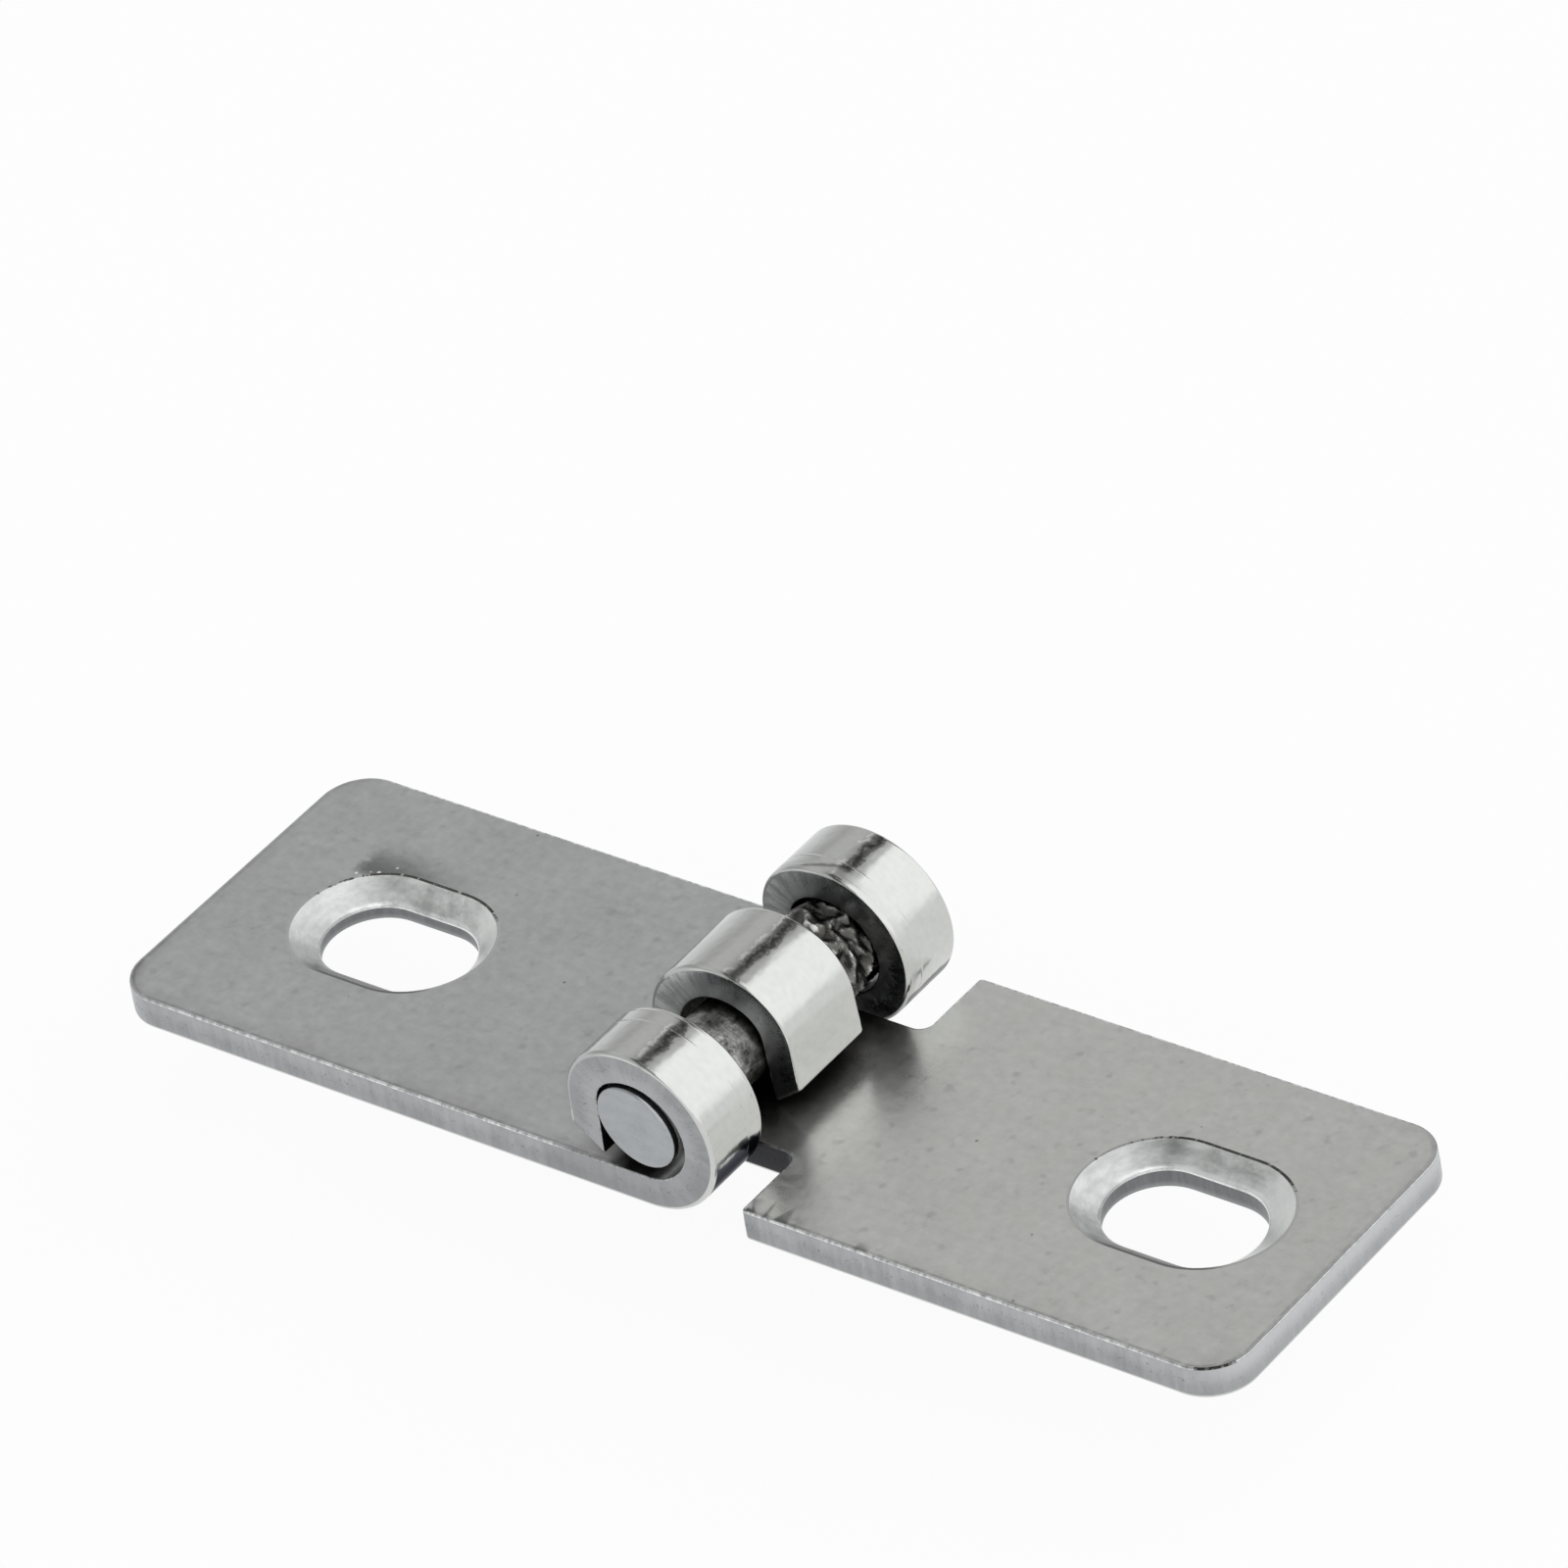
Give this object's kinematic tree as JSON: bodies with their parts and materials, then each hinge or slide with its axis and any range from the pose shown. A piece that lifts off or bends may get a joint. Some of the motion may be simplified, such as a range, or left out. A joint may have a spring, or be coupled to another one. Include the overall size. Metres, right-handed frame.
{
  "type": "cabinet hinge",
  "caption": "Flat stainless steel cabinet hinge: stamped leaves with rolled knuckles round a loose pin and oblong countersunk screw slots.",
  "frame": {"origin": "on the mounting plane, straight below the pin, halfway along it, with the hinge open flat", "axes": "+X from the leaf with the outer knuckles towards the leaf with the centre knuckle; Y along the pin; +Z away from the mounting plane, towards the knuckles"},
  "size_m": [0.075, 0.022, 0.0102],
  "materials": {
    "leaf_steel": "satin rolled sheet with sheared edges",
    "pin_steel": "drawn wire with sheared ends"
  },
  "bodies": {
    "fixed_leaf": {"two_knuckle_leaf": "leaf_steel", "hinge_pin": "pin_steel"},
    "turning_leaf": {"one_knuckle_leaf": "leaf_steel"}
  },
  "joints": [
    {"name": "pin_joint", "type": "hinge", "parent": "fixed_leaf", "child": "turning_leaf", "pos_m": [0, 0, 0.0051], "axis": [0, -1, 0], "range_deg": [-12, 188]}
  ]
}
